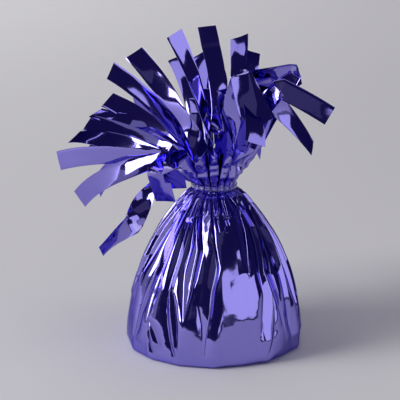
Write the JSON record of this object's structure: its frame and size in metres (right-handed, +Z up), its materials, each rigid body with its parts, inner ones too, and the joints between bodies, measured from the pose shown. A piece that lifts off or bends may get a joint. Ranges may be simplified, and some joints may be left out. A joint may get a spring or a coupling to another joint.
{
  "type": "balloon weight",
  "caption": "Weighted domed cup in a pleated foil wrapper, gathered by a clear band at the neck, with a ruff and a fringe of cut foil strips above it.",
  "frame": {"origin": "centre of the base, on the surface that the weight stands on", "axes": "+Z up along the cup's axis through the neck; -Y towards the viewer of the picture; +X to the right, where the ruff stands steeper"},
  "size_m": [0.1076, 0.1149, 0.1289],
  "materials": {
    "foil": "polyester film metallised on the back and dyed violet, mirror gloss with fine crumpling",
    "cup": "moulded, satin",
    "plaster": "cast, matt and slightly pitted",
    "band": "clear flat elastic, glossy"
  },
  "bodies": {
    "root": {"weight_shell": "cup", "filling": "plaster", "base_plug": "cup", "foil_side": "foil", "foil_neck": "foil", "neck_band": "band", "foil_ruff": "foil", "fringe_strip_01": "foil", "fringe_strip_02": "foil", "fringe_strip_03": "foil", "fringe_strip_04": "foil", "fringe_strip_05": "foil", "fringe_strip_06": "foil", "fringe_strip_07": "foil", "fringe_strip_08": "foil", "fringe_strip_09": "foil", "fringe_strip_10": "foil", "fringe_strip_11": "foil", "fringe_strip_12": "foil", "fringe_strip_13": "foil", "fringe_strip_14": "foil", "fringe_strip_15": "foil", "fringe_strip_16": "foil", "fringe_strip_17": "foil", "fringe_strip_18": "foil", "fringe_strip_19": "foil", "fringe_strip_20": "foil", "fringe_strip_21": "foil", "fringe_strip_22": "foil", "fringe_strip_23": "foil", "fringe_strip_24": "foil", "fringe_strip_25": "foil", "fringe_strip_26": "foil", "fringe_strip_27": "foil", "fringe_strip_28": "foil", "fringe_strip_29": "foil", "fringe_strip_30": "foil", "fringe_strip_31": "foil", "fringe_strip_32": "foil", "fringe_strip_33": "foil", "fringe_strip_34": "foil", "fringe_strip_35": "foil", "fringe_strip_36": "foil"}
  },
  "joints": []
}
